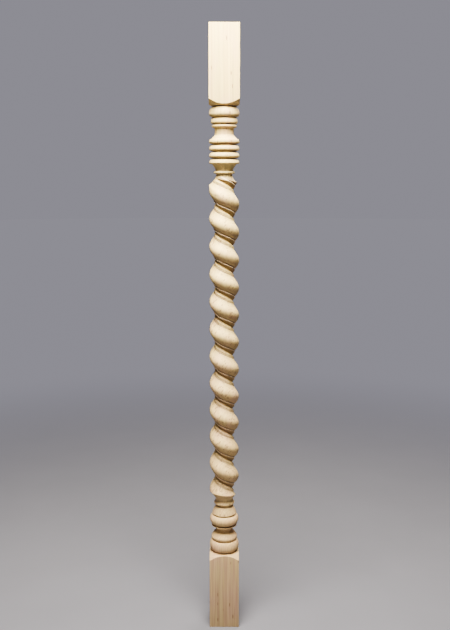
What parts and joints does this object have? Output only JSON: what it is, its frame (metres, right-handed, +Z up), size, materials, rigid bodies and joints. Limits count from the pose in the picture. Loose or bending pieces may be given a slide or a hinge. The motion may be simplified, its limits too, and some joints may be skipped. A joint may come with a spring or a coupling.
{
  "type": "turned baluster",
  "caption": "Turned wooden baluster for a stair or railing, with square end blocks, ring and ball mouldings and a left-hand rope-twist shaft.",
  "frame": {"origin": "centre of the square underside of the lower block", "axes": "+Z up along the turning axis, from the lower block to the upper block; X and Y square to the block faces; -Y towards the pictured side"},
  "size_m": [0.045, 0.045, 0.914],
  "materials": {
    "pale_hardwood": "unfinished pale hardwood, sanded, fine straight grain along the length"
  },
  "bodies": {
    "root": {"baluster": "pale_hardwood"}
  },
  "joints": []
}
